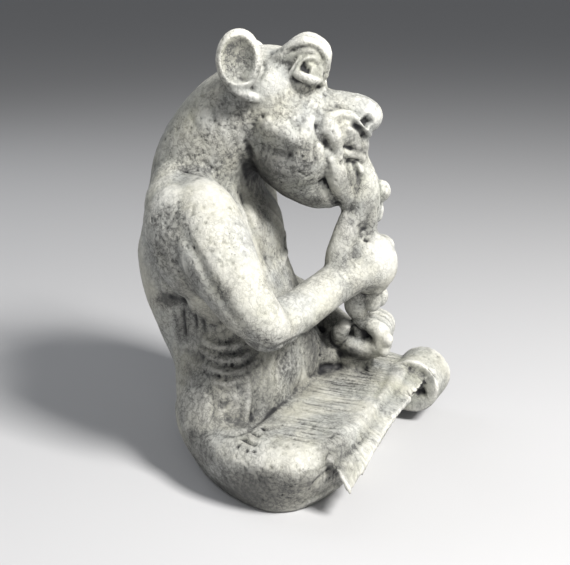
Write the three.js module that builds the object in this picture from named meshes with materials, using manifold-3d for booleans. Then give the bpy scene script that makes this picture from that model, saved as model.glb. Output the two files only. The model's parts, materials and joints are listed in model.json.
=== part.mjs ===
// Gargoyle statue: a crouching beast, cast in one piece with its low base.
// Millimetres, +Z up. The figure faces -Y and its right side is at -X.
// The origin is the centre of the bounding box, on the underside.

import * as THREE from 'three';
import { mergeVertices } from 'three/addons/utils/BufferGeometryUtils.js';
import Module from 'manifold-3d';

const wasm = await Module();
wasm.setup();

// Driving dimensions of the base
const BASE_HEIGHT = 48;
const FOOT_HALF_WIDTH = 100;
const FOOT_BACK = 78;
const FOOT_FRONT = 56;
const LAP_HALF_WIDTH = 110;
const LAP_BACK = 88;
const LAP_FRONT = 68;
const LAP_RIM_RADIUS = 13;
const WIDEST_LINE = -20;

// How full the outlines of the base are: 2 is an oval, and more is nearer to a rectangle
const FOOT_BACK_FULLNESS = 1.6;
const FOOT_FRONT_FULLNESS = 2.5;
const LAP_BACK_FULLNESS = 1.8;
const LAP_FRONT_FULLNESS = 4;
const WALL_SWELL = 0.7;
const BASE_SIDES = 32;

// Driving dimensions of the hide that hangs before the lap
const HIDE_THICKNESS = 6;
const HIDE_OVERHANG = 8;
const HIDE_RIGHT_INSET = 18;
const HIDE_LEFT_INSET = 22;
const HIDE_RIGHT_DROOP = 18;
const HIDE_LEFT_DROOP = 4;
const HIDE_CURL = 1.5;
const HEM_WAVES = 3;
const HEM_WAVE_HEIGHT = 1.6;

// Where the hide leaves the rim of the lap, as shares of the rim's radius in from its front and top,
// and where along its run it has risen to its left height
const SEAM_DEPTH = 0.6;
const SEAM_DROP = 0.55;
const HIDE_RISEN_AT = 0.55;

// The rolled corner of the hide fills the height from a little over the floor to a little over the lap
const SCROLL_CLEARANCE = 9;
const SCROLL_RISE = 3;
const SCROLL_RADIUS = (BASE_HEIGHT + SCROLL_RISE - SCROLL_CLEARANCE) / 2;
const SCROLL_WIDTH = 36;
const SCROLL_HOLLOW = 10;
const SCROLL_ROOT_THICKNESS = 9;
const SCROLL_SETBACK = 4;
const SCROLL_START = 112;

// The roll winds inwards with a gap between its turns until its wall closes on the eye
const SCROLL_GAP = 0.4;
const SCROLL_EYE = 0.5;
const SCROLL_EYE_RADIUS = HIDE_THICKNESS + SCROLL_EYE;
const SCROLL_TURNS = (SCROLL_RADIUS - SCROLL_EYE_RADIUS) / (SCROLL_ROOT_THICKNESS + SCROLL_GAP);

// Driving dimensions of the carved strokes on the lap. Two rhythms make them uneven.
const STROKE_COUNT = 13;
const STROKE_LENGTH = 44;
const STROKE_WIDTH = 2.4;
const STROKE_DEPTH = 1.4;
const STROKE_SIDE_INSET = 24;
const STROKE_SHORTENING = 0.25;
const STROKE_SLANT = 4;
const LENGTH_RHYTHM = 2.3;
const SLANT_RHYTHM = 1.7;

// The figure stands on the lap. Its forms are drawn on a grid of parts, so many to its height.
const FIGURE_HEIGHT = 253;
const FIGURE_PARTS = 253;
const LAP_PARTS = 48;
const PART = FIGURE_HEIGHT / FIGURE_PARTS;
const TORSO_CAP_PARTS = 16;

// The head and what it gnaws are turned to the figure's left, about a line through the neck.
const HEAD_TURN = 20;
const NECK_LINE = 35;
const LEFT_EAR_DROP = 11;

// A paired form is drawn once, on the figure's right, and made for each side.
const RIGHT = 1;
const LEFT = -1;

const STONE = new THREE.MeshStandardMaterial({
  color: 0xc9c8bd,
  roughness: 0.85,
  metalness: 0,
});

// A place on the figure: x to its left, y to its back, z above the floor, in parts.
function at(x, y, z) {
  return new THREE.Vector3(x * PART, y * PART, BASE_HEIGHT + (z - LAP_PARTS) * PART);
}

// A closed geometry as a solid that can be joined and cut.
function solidOf(geometry) {
  const bare = geometry.index ? geometry.toNonIndexed() : geometry.clone();
  bare.deleteAttribute('normal');
  bare.deleteAttribute('uv');
  const merged = mergeVertices(bare, 1e-4);
  return new wasm.Manifold(new wasm.Mesh({
    numProp: 3,
    vertProperties: new Float32Array(merged.attributes.position.array),
    triVerts: new Uint32Array(merged.index.array),
  }));
}

// Moves every point of a geometry by a function of its place on the surface.
function reshape(geometry, place) {
  const position = geometry.attributes.position;
  const uv = geometry.attributes.uv;
  const point = new THREE.Vector3();
  for (let i = 0; i < position.count; i += 1) {
    point.fromBufferAttribute(position, i);
    place(point, uv.getX(i), uv.getY(i));
    position.setXYZ(i, point.x, point.y, point.z);
  }
  return geometry;
}

function join(solids) {
  return solids.reduce((whole, solid) => whole.add(solid));
}

// One form on each side of the figure.
function bothSides(make) {
  return make(RIGHT).add(make(LEFT));
}

function blend(from, to, share) {
  return from + (to - from) * share;
}

function smooth(share) {
  return THREE.MathUtils.smoothstep(share, 0, 1);
}

// An egg-shaped mass with its three half-sizes in parts, tipped about X and turned about Z.
function blob(centre, sizes, { hand = RIGHT, tip = 0, turn = 0, around = 10, along = 7 } = {}) {
  const [x, y, z] = centre;
  const geometry = new THREE.SphereGeometry(1, around, along);
  geometry.rotateX(Math.PI / 2);
  geometry.scale(...sizes.map((size) => size * PART));
  geometry.rotateX(THREE.MathUtils.degToRad(tip));
  geometry.rotateZ(THREE.MathUtils.degToRad(turn * hand));
  geometry.translate(...at(x * hand, y, z).toArray());
  return solidOf(geometry);
}

const CAP_SHARE = 0.22;

// A round-ended limb along a smooth line. Each station is [x, y, z, half-width, half-depth]
// in parts. The half-width is measured along `side`, `square` above 2 flattens the section,
// and `cap` limits how far the round ends stand out beyond the line.
function limb(stations, options = {}) {
  const { hand = RIGHT, side = [1, 0, 0], around = 8, along = 10, square = 2, cap = Infinity } = options;
  const line = new THREE.CatmullRomCurve3(stations.map(([x, y, z]) => at(x * hand, y, z)));
  const sizes = new THREE.CatmullRomCurve3(
    stations.map(([, , , wide, deep = wide]) => new THREE.Vector3(wide * PART, deep * PART, 0)),
  );
  const across = new THREE.Vector3();
  const away = new THREE.Vector3();
  const wanted = new THREE.Vector3(...side);
  const geometry = new THREE.SphereGeometry(1, around, along);
  return solidOf(reshape(geometry, (point, u, v) => {
    const fromStart = THREE.MathUtils.clamp((1 - v) / CAP_SHARE, 0, 1);
    const fromEnd = THREE.MathUtils.clamp(v / CAP_SHARE, 0, 1);
    const swell = Math.sin(Math.min(fromStart, fromEnd) * Math.PI / 2);
    const t = THREE.MathUtils.clamp((1 - v - CAP_SHARE) / (1 - 2 * CAP_SHARE), 0, 1);
    const tangent = line.getTangent(t);
    across.copy(wanted).addScaledVector(tangent, -wanted.dot(tangent)).normalize();
    away.crossVectors(tangent, across);
    const size = sizes.getPoint(t);
    const reach = Math.min(size.x, size.y, cap * PART);
    const beyond = reach * (Math.cos(fromStart * Math.PI / 2) - Math.cos(fromEnd * Math.PI / 2));
    const angle = u * 2 * Math.PI;
    const c = Math.sign(Math.cos(angle)) * Math.abs(Math.cos(angle)) ** (2 / square);
    const s = Math.sign(Math.sin(angle)) * Math.abs(Math.sin(angle)) ** (2 / square);
    point.copy(line.getPoint(t))
      .addScaledVector(across, -c * swell * size.x)
      .addScaledVector(away, s * swell * size.y)
      .addScaledVector(tangent, -beyond);
  }));
}

// Distance from the middle of an oval outline to its edge, towards an angle.
function ovalReach(angle, halfWidth, halfDepth, power) {
  const across = (Math.abs(Math.cos(angle)) / halfWidth) ** power;
  const away = (Math.abs(Math.sin(angle)) / halfDepth) ** power;
  return (across + away) ** (-1 / power);
}

// The low base: an egg-shaped foot that widens into the lap with a rounded rim.
function base() {
  const rim = LAP_RIM_RADIUS;
  const profile = [[0, 0], [1, 0]];
  const wallSteps = 3;
  for (let i = 1; i <= wallSteps; i += 1) profile.push([1, (BASE_HEIGHT - rim) * i / wallSteps]);
  const rimSteps = 3;
  for (let i = 1; i <= rimSteps; i += 1) {
    const turn = Math.PI / 2 * i / rimSteps;
    profile.push([1 - rim * (1 - Math.cos(turn)) / LAP_FRONT, BASE_HEIGHT - rim + rim * Math.sin(turn)]);
  }
  profile.push([0, BASE_HEIGHT]);
  const lathe = new THREE.LatheGeometry(profile.map(([r, h]) => new THREE.Vector2(r, h)), BASE_SIDES);
  return solidOf(reshape(lathe, (point) => {
    const share = Math.hypot(point.x, point.z);
    const angle = Math.atan2(-point.z, point.x);
    const height = point.y;
    const rise = smooth(Math.min(height / (BASE_HEIGHT - rim), 1)) ** WALL_SWELL;
    const isBack = Math.sin(angle) > 0;
    const foot = isBack
      ? ovalReach(angle, FOOT_HALF_WIDTH, FOOT_BACK - WIDEST_LINE, FOOT_BACK_FULLNESS)
      : ovalReach(angle, FOOT_HALF_WIDTH, FOOT_FRONT + WIDEST_LINE, FOOT_FRONT_FULLNESS);
    const lap = isBack
      ? ovalReach(angle, LAP_HALF_WIDTH, LAP_BACK - WIDEST_LINE, LAP_BACK_FULLNESS)
      : ovalReach(angle, LAP_HALF_WIDTH, LAP_FRONT + WIDEST_LINE, LAP_FRONT_FULLNESS);
    const reach = blend(foot, lap, rise) * share;
    point.set(Math.cos(angle) * reach, WIDEST_LINE + Math.sin(angle) * reach, height);
  }));
}

// The hide below the front rim of the lap: low and loose at the figure's right, raised at its left.
function hide() {
  const start = HIDE_RIGHT_INSET - LAP_HALF_WIDTH;
  const end = LAP_HALF_WIDTH - HIDE_LEFT_INSET;
  const seamY = -LAP_FRONT + LAP_RIM_RADIUS * SEAM_DEPTH;
  const seamZ = BASE_HEIGHT - LAP_RIM_RADIUS * SEAM_DROP;
  const sheet = new THREE.BoxGeometry(1, 1, 1, 4 * HEM_WAVES, 2, 1);
  return solidOf(reshape(sheet, (point) => {
    const run = point.x + 0.5;
    const out = 0.5 - point.y;
    const wave = Math.sin(run * HEM_WAVES * 2 * Math.PI) * HEM_WAVE_HEIGHT * (1 - run);
    const droop = blend(HIDE_RIGHT_DROOP, HIDE_LEFT_DROOP, smooth(run / HIDE_RISEN_AT));
    const edgeY = -LAP_FRONT - HIDE_OVERHANG + wave / 2;
    point.set(
      blend(start, end, run),
      blend(seamY, edgeY, out),
      seamZ - droop * out ** HIDE_CURL - wave * out + point.z * HIDE_THICKNESS,
    );
  }));
}

// The corner of the hide at the figure's left, rolled forward into a volute.
function rolledCorner() {
  const steps = 16;
  const inner = [];
  const outer = [];
  for (let i = 0; i <= steps; i += 1) {
    const share = i / steps;
    const angle = THREE.MathUtils.degToRad(SCROLL_START) + SCROLL_TURNS * 2 * Math.PI * share;
    const radius = blend(SCROLL_RADIUS, SCROLL_EYE_RADIUS, share);
    const wall = blend(SCROLL_ROOT_THICKNESS, HIDE_THICKNESS, share);
    outer.push(new THREE.Vector2(Math.cos(angle) * radius, Math.sin(angle) * radius));
    inner.push(new THREE.Vector2(Math.cos(angle) * (radius - wall), Math.sin(angle) * (radius - wall)));
  }
  const outline = new THREE.Shape([...outer, ...inner.reverse()]);
  const roll = new THREE.ExtrudeGeometry(outline, { depth: SCROLL_WIDTH, bevelEnabled: false });
  const centre = new THREE.Vector3(
    LAP_HALF_WIDTH - SCROLL_WIDTH,
    -LAP_FRONT + SCROLL_SETBACK,
    SCROLL_CLEARANCE + SCROLL_RADIUS,
  );
  roll.applyMatrix4(new THREE.Matrix4().makeBasis(
    new THREE.Vector3(0, 1, 0),
    new THREE.Vector3(0, 0, 1),
    new THREE.Vector3(1, 0, 0),
  ).setPosition(centre));
  const coreRadius = SCROLL_RADIUS - HIDE_THICKNESS / 2;
  const coreWidth = SCROLL_WIDTH - SCROLL_HOLLOW;
  const core = new THREE.CylinderGeometry(coreRadius, coreRadius, coreWidth, steps);
  core.rotateZ(Math.PI / 2);
  core.translate(centre.x + SCROLL_WIDTH - coreWidth / 2, centre.y, centre.z);
  return solidOf(roll).add(solidOf(core));
}

function torso() {
  return limb([
    [0, 31, 44, 91, 38],
    [0, 35, 62, 82, 42],
    [0, 43, 84, 66, 44],
    [0, 55, 108, 62, 46],
    [0, 64, 132, 65, 45],
    [0, 66, 158, 66, 44],
    [0, 70, 184, 52, 36],
    [0, 66, 212, 43, 34],
    [0, 47, 238, 38, 32],
    [0, 34, 252, 32, 28],
  ], { around: 20, along: 18, square: 2.3, cap: TORSO_CAP_PARTS });
}

// The broad muscles across the nape, from one shoulder to the other.
function yoke() {
  return limb([
    [-54, 64, 180, 20, 24],
    [-30, 74, 192, 20, 25],
    [0, 79, 200, 20, 24],
    [30, 76, 192, 20, 25],
    [54, 70, 179, 20, 24],
  ], { side: [0, 1, 0], around: 8, along: 8 });
}

// Folds of slack skin over the flank and belly, each one further out than the one above.
function skinFolds(hand) {
  const levels = [101, 90, 79];
  const topReach = 57;
  const spread = 6;
  return join(levels.map((z, i) => {
    const reach = topReach + i * spread;
    return limb([
      [-reach - 2, 44, z + 4, 6, 4],
      [-reach, 24, z - 2, 8, 6],
      [-reach + 12, 9, z, 8, 6],
      [-reach + 28, 2, z + 6, 5, 4],
    ], { hand, side: [0, 0, 1], around: 6, along: 6 });
  }));
}

// The right arm is raised forward, so the shoulder blade stands out behind it.
function rightArm() {
  const blade = limb([
    [-50, 66, 186, 22, 22],
    [-60, 56, 176, 26, 28],
    [-69, 45, 158, 23, 26],
    [-67, 38, 138, 17, 20],
    [-60, 36, 120, 12, 14],
  ], { around: 8, along: 7 });
  const upper = limb([
    [-40, 60, 190, 19, 20],
    [-60, 42, 177, 25, 27],
    [-74, 19, 157, 23, 22],
    [-79, 0, 136, 18, 18],
    [-75, -11, 121, 15, 15],
    [-70, -13, 115, 14, 14],
  ], { around: 10, along: 8 });
  const fore = limb([
    [-71, -9, 115, 15, 15],
    [-53, -14, 116, 15, 15],
    [-28, -21, 121, 14, 14],
    [-2, -29, 128, 13, 14],
    [16, -37, 134, 15, 16],
  ], { side: [0, 0, 1], around: 9, along: 7 });
  return join([blade, upper, fore]);
}

// The left arm hangs closer to the flank, and its hand rests on the lap.
function leftArm() {
  const upper = limb([
    [40, 70, 190, 20, 20],
    [58, 70, 177, 25, 25],
    [70, 69, 152, 22, 22],
    [73, 65, 128, 19, 19],
    [71, 53, 106, 16, 17],
    [70, 43, 97, 15, 15],
  ], { around: 10, along: 10 });
  const fore = limb([
    [70, 44, 96, 15, 15],
    [70, 23, 88, 15, 14],
    [65, 2, 79, 13, 12],
    [57, -16, 73, 12, 10],
  ], { side: [0, 0, 1], around: 9, along: 6 });
  return upper.add(fore);
}

// The right hand, closed round what it holds, with the thumb along it.
function fist() {
  const palm = blob([0, -47, 137], [17, 20, 21], { around: 10, along: 7 });
  const thumb = limb([
    [-13, -26, 138, 9, 9],
    [-12, -30, 152, 8, 8],
    [-9, -34, 164, 7, 7],
  ], { around: 7, along: 6 });
  const fingers = [150, 141, 132, 122].map((z, i) => limb([
    [-8, -58 + i, z - 1, 6, 6],
    [3, -62 + i, z, 6.5, 6.5],
    [14, -58 + i, z, 6.5, 6.5],
    [17, -50 + i, z - 1, 6, 6],
  ], { side: [0, 0, 1], around: 5, along: 5 }));
  const grip = blob([-5, -45, 158], [5, 5, 6], { around: 5, along: 4 });
  return join([palm, thumb, ...fingers]).subtract(grip);
}

// The left hand, open upwards on the lap, with its fingers curled over and a fold of skin behind it.
function openHand() {
  const palm = blob([51, -30, 68], [18, 17, 10], { around: 8, along: 6 });
  const thumb = limb([
    [46, -18, 70, 7, 7],
    [40, -19, 78, 6, 6],
    [38, -24, 83, 4.5, 4.5],
  ], { around: 5, along: 5 });
  const fingers = [41, 50, 59, 67].map((x, i) => limb([
    [x, -36 + 2 * i, 67, 6, 6],
    [x, -47 + 2 * i, 71, 6.5, 6.5],
    [x + 1, -48 + 2 * i, 80, 7, 7],
    [x + 2, -42 + 2 * i, 84, 6.5, 6.5],
  ], { around: 5, along: 5 }));
  const heel = blob([56, -24, 55], [20, 17, 12], { around: 9, along: 6 });
  const fold = blob([49, -5, 58], [14, 12, 15], { around: 7, along: 5 });
  return join([palm, thumb, heel, fold, ...fingers]);
}

// What it gnaws: a haunch held between the jaws and the fist.
function haunch() {
  const meat = limb([
    [0, -35, 210, 13, 12],
    [0, -40, 195, 14, 14],
    [0, -42, 178, 13, 13.5],
    [0, -44, 166, 10, 11],
    [0, -45, 154, 6, 6],
    [0, -46, 140, 6, 6],
  ], { around: 9, along: 10 });
  const knuckle = blob([8, -55, 188], [7, 7.5, 8], { around: 7, along: 5 });
  const scrap = blob([6, -53, 174], [4, 5, 9], { around: 5, along: 4 });
  return join([meat, knuckle, scrap]);
}

// Its lower end: two bulbs below the fist and a stem that runs down into the open hand.
function stem() {
  const bulbAndStem = limb([
    [29, -35, 116, 6, 6],
    [34, -31, 104, 7.5, 7.5],
    [40, -31, 93, 4.5, 4.5],
    [48, -31, 76, 4, 4],
  ], { around: 7, along: 8 });
  const secondBulb = limb([[31, -44, 120, 6, 6], [35, -42, 108, 7, 7]], { around: 6, along: 5 });
  return bulbAndStem.add(secondBulb);
}

function head() {
  return join([
    blob([0, 22, 257], [35, 36, 31.5], { around: 12, along: 9 }),
    blob([0, 0, 241], [33, 26, 26], { around: 12, along: 8 }),
    limb([
      [0, 16, 208, 27, 15],
      [0, 2, 198, 24, 16],
      [0, -13, 190, 18, 14],
      [0, -19, 188, 14, 11],
    ], { around: 10, along: 8 }),
    limb([
      [0, -14, 247, 20, 12],
      [0, -30, 245, 18, 12],
      [0, -45, 240, 19, 11],
    ], { around: 10, along: 8 }),
    blob([0, -32, 222], [18, 15, 14]),
    bothSides(cheek),
    bothSides(brow),
    bothSides(eye),
    bothSides(nostril),
    bothSides(lips),
    bothSides(ear),
  ]);
}

function cheek(hand) {
  return blob([-15, 6, 226], [25, 29, 34], { hand, tip: -8, around: 10, along: 8 });
}

function brow(hand) {
  return limb([
    [-21, 14, 277, 6, 6],
    [-26, 6, 284, 7, 7],
    [-25, -4, 288, 7, 7.5],
    [-20, -13, 281, 7, 7],
    [-15, -12, 269, 5, 5.5],
  ], { hand, around: 6, along: 9 });
}

function eye(hand) {
  const ball = blob([-20, -4, 272], [12, 11, 11], { hand, around: 8, along: 6 });
  const upperLid = limb([
    [-31, 5, 270, 2.5, 3],
    [-31, 2, 280, 3, 3],
    [-29, -8, 282, 3, 3],
    [-25, -13, 273, 3, 3],
  ], { hand, around: 5, along: 6 });
  const lowerLid = limb([
    [-30, 3, 269, 3, 3.5],
    [-30, -4, 266, 4, 4.5],
    [-25, -11, 264, 3, 4],
  ], { hand, around: 5, along: 6 });
  const pupil = blob([-32, -7, 275], [4, 3, 3], { hand, around: 5, along: 4 });
  return join([ball, upperLid, lowerLid]).subtract(pupil);
}

function nostril(hand) {
  const pad = blob([-19, -26, 235], [11, 10, 11], { hand, around: 8, along: 6 });
  const arch = limb([
    [-20, -26, 240, 4, 4],
    [-15, -37, 236, 4, 4],
    [-9, -44, 228, 3.5, 3.5],
  ], { hand, around: 5, along: 6 });
  const hollow = blob([-14, -47, 242], [6, 5, 6], { hand, around: 6, along: 4 });
  return pad.add(arch).subtract(hollow);
}

function lips(hand) {
  const fold = limb([
    [-25, -15, 228, 6, 6],
    [-24, -21, 214, 6, 6],
    [-19, -25, 202, 5.5, 5.5],
    [-13, -31, 190, 4.5, 4.5],
  ], { hand, around: 5, along: 6 });
  const upper = limb([
    [-16, -38, 226, 4, 5],
    [-10, -45, 218, 4.5, 4.5],
    [-3, -46, 213, 4.5, 4.5],
  ], { hand, around: 5, along: 6 });
  const teeth = [[-15, -34], [-9, -42]].map(([x, y], i) => limb([
    [x, y, 210 - i, 3.6, 3.2],
    [x, y - 1, 199 - i, 2.6, 2.4],
  ], { hand, around: 5, along: 4 }));
  return join([fold, upper, ...teeth]);
}

// The left ear sits a little lower than the right one.
function ear(hand) {
  const drop = hand === LEFT ? LEFT_EAR_DROP : 0;
  const shape = { hand, turn: 10 };
  const shell = blob([-40, 38, 281 - drop], [9, 15, 20], { ...shape, around: 11, along: 8 });
  const hollow = blob([-50, 37, 282 - drop], [9, 12, 17], { ...shape, around: 9, along: 6 });
  const lobe = limb([
    [-37, 44, 266 - drop, 5, 6],
    [-39, 35, 261 - drop, 6, 6],
    [-36, 24, 257 - drop, 6, 6],
  ], { hand, around: 5, along: 5 });
  return shell.add(lobe).subtract(hollow);
}

// Shallow strokes cut across the lap, from the belly towards the front rim.
function lapStrokes() {
  const strokes = [];
  const reach = LAP_HALF_WIDTH - STROKE_SIDE_INSET;
  const middle = -LAP_FRONT + LAP_RIM_RADIUS + STROKE_LENGTH / 2;
  for (let i = 0; i < STROKE_COUNT; i += 1) {
    const length = STROKE_LENGTH * (1 - STROKE_SHORTENING * (1 - Math.sin(i * LENGTH_RHYTHM)));
    const cut = new THREE.CylinderGeometry(STROKE_WIDTH / 2, STROKE_WIDTH / 2, length, 4);
    cut.scale(1, 1, 2 * STROKE_DEPTH / STROKE_WIDTH);
    cut.rotateZ(THREE.MathUtils.degToRad(STROKE_SLANT * Math.sin(i * SLANT_RHYTHM)));
    cut.translate(blend(-reach, reach, i / (STROKE_COUNT - 1)), middle, BASE_HEIGHT);
    strokes.push(solidOf(cut));
  }
  return join(strokes);
}

function statue() {
  const turned = placed(join([head(), haunch(), fist()]), headTurn());
  return join([
    base().subtract(lapStrokes()),
    hide(),
    rolledCorner(),
    torso(),
    yoke(),
    bothSides(skinFolds),
    rightArm(),
    leftArm(),
    openHand(),
    stem(),
    turned,
  ]);
}

function geometryOf(solid) {
  const { vertProperties, triVerts } = solid.getMesh();
  const geometry = new THREE.BufferGeometry();
  geometry.setAttribute('position', new THREE.BufferAttribute(new Float32Array(vertProperties), 3));
  geometry.setIndex(new THREE.BufferAttribute(new Uint32Array(triVerts), 1));
  return geometry;
}

// A solid moved by a matrix. Its points and triangles stay as they are joined.
function placed(solid, matrix) {
  const geometry = geometryOf(solid).applyMatrix4(matrix);
  return new wasm.Manifold(new wasm.Mesh({
    numProp: 3,
    vertProperties: geometry.attributes.position.array,
    triVerts: geometry.index.array,
  }));
}

// The turn of the head about its line through the neck.
function headTurn() {
  const neck = at(0, NECK_LINE, 0);
  return new THREE.Matrix4()
    .makeTranslation(neck.x, neck.y, 0)
    .multiply(new THREE.Matrix4().makeRotationZ(THREE.MathUtils.degToRad(HEAD_TURN)))
    .multiply(new THREE.Matrix4().makeTranslation(-neck.x, -neck.y, 0));
}

// A solid as a mesh geometry with its origin under the middle of its box.
function finished(solid) {
  const geometry = geometryOf(solid);
  geometry.computeBoundingBox();
  const centre = geometry.boundingBox.getCenter(new THREE.Vector3());
  geometry.translate(-centre.x, -centre.y, -geometry.boundingBox.min.z);
  geometry.computeVertexNormals();
  return geometry;
}

const gargoyle = new THREE.Mesh(finished(statue()), STONE);
gargoyle.name = 'gargoyle';

const group = new THREE.Group();
group.add(gargoyle);

export default group;
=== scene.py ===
# %% [markdown]
# # A cast stone gargoyle
#
# The real thing is one casting: a crouching beast on a low base, poured in pale stone and
# brushed with a black wash that stays in the carving. We model it as a sculptor does. First come the big
# masses, then the smaller forms on them, then the strokes of the tools, and last the wash, with painted
# shade and painted highlight.

# %% Load the imported model
import json
import math

import bpy
import numpy as np
from mathutils import Matrix, Vector
from mathutils.bvhtree import BVHTree

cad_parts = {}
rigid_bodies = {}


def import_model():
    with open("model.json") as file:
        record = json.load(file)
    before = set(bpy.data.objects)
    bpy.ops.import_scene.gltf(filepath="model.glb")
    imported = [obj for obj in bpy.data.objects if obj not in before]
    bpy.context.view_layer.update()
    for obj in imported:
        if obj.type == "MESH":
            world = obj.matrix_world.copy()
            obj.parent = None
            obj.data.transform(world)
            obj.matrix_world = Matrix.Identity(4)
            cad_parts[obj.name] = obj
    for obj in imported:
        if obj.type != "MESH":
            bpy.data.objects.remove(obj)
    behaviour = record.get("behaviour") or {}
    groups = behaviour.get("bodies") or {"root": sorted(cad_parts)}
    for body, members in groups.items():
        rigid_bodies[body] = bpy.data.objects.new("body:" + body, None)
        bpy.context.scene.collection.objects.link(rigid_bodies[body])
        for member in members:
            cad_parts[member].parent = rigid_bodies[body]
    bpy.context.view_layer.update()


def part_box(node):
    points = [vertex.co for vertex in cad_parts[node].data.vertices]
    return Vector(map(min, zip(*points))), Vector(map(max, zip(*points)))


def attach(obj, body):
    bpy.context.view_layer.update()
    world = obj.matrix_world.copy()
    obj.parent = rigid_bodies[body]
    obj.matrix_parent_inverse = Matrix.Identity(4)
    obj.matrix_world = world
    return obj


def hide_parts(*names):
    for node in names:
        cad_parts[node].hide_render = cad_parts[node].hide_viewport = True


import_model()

MM = 0.001
LOW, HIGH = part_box("gargoyle")

# %% [markdown]
# ## The sculptor's grid
#
# The figure is drawn on a grid of millimetres: x to its left, y to its back, z up from the floor. The
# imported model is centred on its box, so one shift along y brings the grid onto it. The head, and
# what it gnaws, are drawn looking straight ahead and then turned about a line through the neck.

# %% Grid and head turn
GRID_BACK = 109.9
GRID_SHIFT = HIGH.y / MM - GRID_BACK
HEAD_TURN = math.radians(20)
NECK_LINE = 35


def grid(points, head=False):
    """Grid points in millimetres as an array of places in metres."""
    spots = np.array(points, float).reshape(-1, 3)
    if head:
        c, s = math.cos(HEAD_TURN), math.sin(HEAD_TURN)
        x, y = spots[:, 0], spots[:, 1] - NECK_LINE
        spots = np.column_stack((x * c - y * s, NECK_LINE + x * s + y * c, spots[:, 2]))
    return (spots + (0, GRID_SHIFT, 0)) * MM


def off_grid(spot, head=False):
    """A place in metres as a grid point in millimetres."""
    x, y, z = np.array(spot) / MM - (0, GRID_SHIFT, 0)
    if not head:
        return x, y, z
    c, s = math.cos(HEAD_TURN), math.sin(HEAD_TURN)
    y -= NECK_LINE
    return x * c + y * s, NECK_LINE - x * s + y * c, z


print("grid shift along y, mm:", round(GRID_SHIFT, 2))

# %% [markdown]
# ## Camera, floor and light
#
# The camera stands where the photograph was taken: near the figure's right side, a little in front
# and above. Carving lines are later drawn from here, through the lens, onto the surface.

# %% Camera
IMAGE_WIDTH, IMAGE_HEIGHT = 570, 565
FOCAL_PIXELS = 1050
SENSOR = 36
NEAREST, FARTHEST = 0.02, 100
CAMERA_FROM = Vector(grid((-649.9, -280.4, 335.2))[0])
CAMERA_AT = Vector(grid((0, 9, 124.5))[0])

bpy.ops.object.select_all(action="DESELECT")
bpy.ops.object.camera_add(location=CAMERA_FROM)
camera = bpy.context.object
camera.name = "photo_camera"
LOOK = (CAMERA_AT - CAMERA_FROM).to_track_quat("-Z", "Y")
camera.rotation_euler = LOOK.to_euler()
camera.data.sensor_fit = "HORIZONTAL"
camera.data.sensor_width = SENSOR
camera.data.lens = SENSOR * FOCAL_PIXELS / IMAGE_WIDTH
camera.data.clip_start = NEAREST
camera.data.clip_end = FARTHEST
bpy.context.scene.camera = camera


def sight(px, py):
    """The direction from the camera through a pixel of the 570 x 565 frame."""
    across = (px - IMAGE_WIDTH / 2) / FOCAL_PIXELS
    up = (IMAGE_HEIGHT / 2 - py) / FOCAL_PIXELS
    return LOOK @ Vector((across, up, -1)).normalized()


print("lens", round(camera.data.lens, 1), "mm at", [round(v, 3) for v in CAMERA_FROM])

# %% [markdown]
# ### Floor
#
# A plain pale plane is enough. It is so wide that its edge stays out of the picture.

# %% Floor
FLOOR_SIZE = 60
FLOOR_GREY = (0.62, 0.62, 0.63)
FLOOR_ROUGHNESS = 0.9
bpy.ops.object.select_all(action="DESELECT")
bpy.ops.mesh.primitive_plane_add(size=FLOOR_SIZE)
floor = bpy.context.object
floor.name = "floor"
floor_paint = bpy.data.materials.new("pale_floor")
floor_paint.use_nodes = True
floor_shader = floor_paint.node_tree.nodes["Principled BSDF"]
floor_shader.inputs["Base Color"].default_value = (*FLOOR_GREY, 1)
floor_shader.inputs["Roughness"].default_value = FLOOR_ROUGHNESS
floor.data.materials.append(floor_paint)
print("floor", FLOOR_SIZE, "m wide")

# %% [markdown]
# ### Light
#
# Carving shows by its shadows. So one softbox does most of the work, high up in front of the figure,
# where the photograph's light comes from. Two weak ones and a dim sky keep the shadows open.

# %% Lights
STATUE_MIDDLE = Vector(grid((0, 0, 150))[0])
SOFTBOXES = [
    # name, place and size in metres, watts, tint
    ("key_light", (-0.4, -1.1, 1.25), 0.4, 42, (1, 0.985, 0.96)),
    ("camera_side_light", (-1.3, -0.55, 0.9), 0.7, 3, (1, 1, 1)),
    ("back_light", (0.2, 1.3, 1.1), 1.0, 5, (0.93, 0.96, 1)),
]
SKY_TINT, SKY_STRENGTH = (0.8, 0.82, 0.85), 0.18


def softbox(name, place, size, watts, tint):
    bpy.ops.object.select_all(action="DESELECT")
    bpy.ops.object.light_add(type="AREA", location=place)
    light = bpy.context.object
    light.name = name
    light.data.size = size
    light.data.energy = watts
    light.data.color = tint
    light.rotation_euler = (STATUE_MIDDLE - Vector(place)).to_track_quat("-Z", "Y").to_euler()


for row in SOFTBOXES:
    softbox(*row)

world = bpy.data.worlds.new("studio")
bpy.context.scene.world = world
world.use_nodes = True
sky = world.node_tree.nodes["Background"]
sky.inputs["Color"].default_value = (*SKY_TINT, 1)
sky.inputs["Strength"].default_value = SKY_STRENGTH
bpy.context.scene.view_settings.view_transform = "Standard"

# %% [markdown]
# ## Clay: lumps and rolls
#
# Every form starts as a ball. A lump is a ball pressed to an egg. A roll is a ball drawn out
# along a smooth line, as wide and deep at each station as the list says. Balls are closed, so the forms
# can be joined later without holes.

# %% Helpers for clay
RIGHT, LEFT = 1, -1
BOTH = (RIGHT, LEFT)


def only(*objects):
    """Selects these objects alone and makes the first one active."""
    bpy.ops.object.select_all(action="DESELECT")
    for one in objects:
        one.select_set(True)
    bpy.context.view_layer.objects.active = objects[0]


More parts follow.
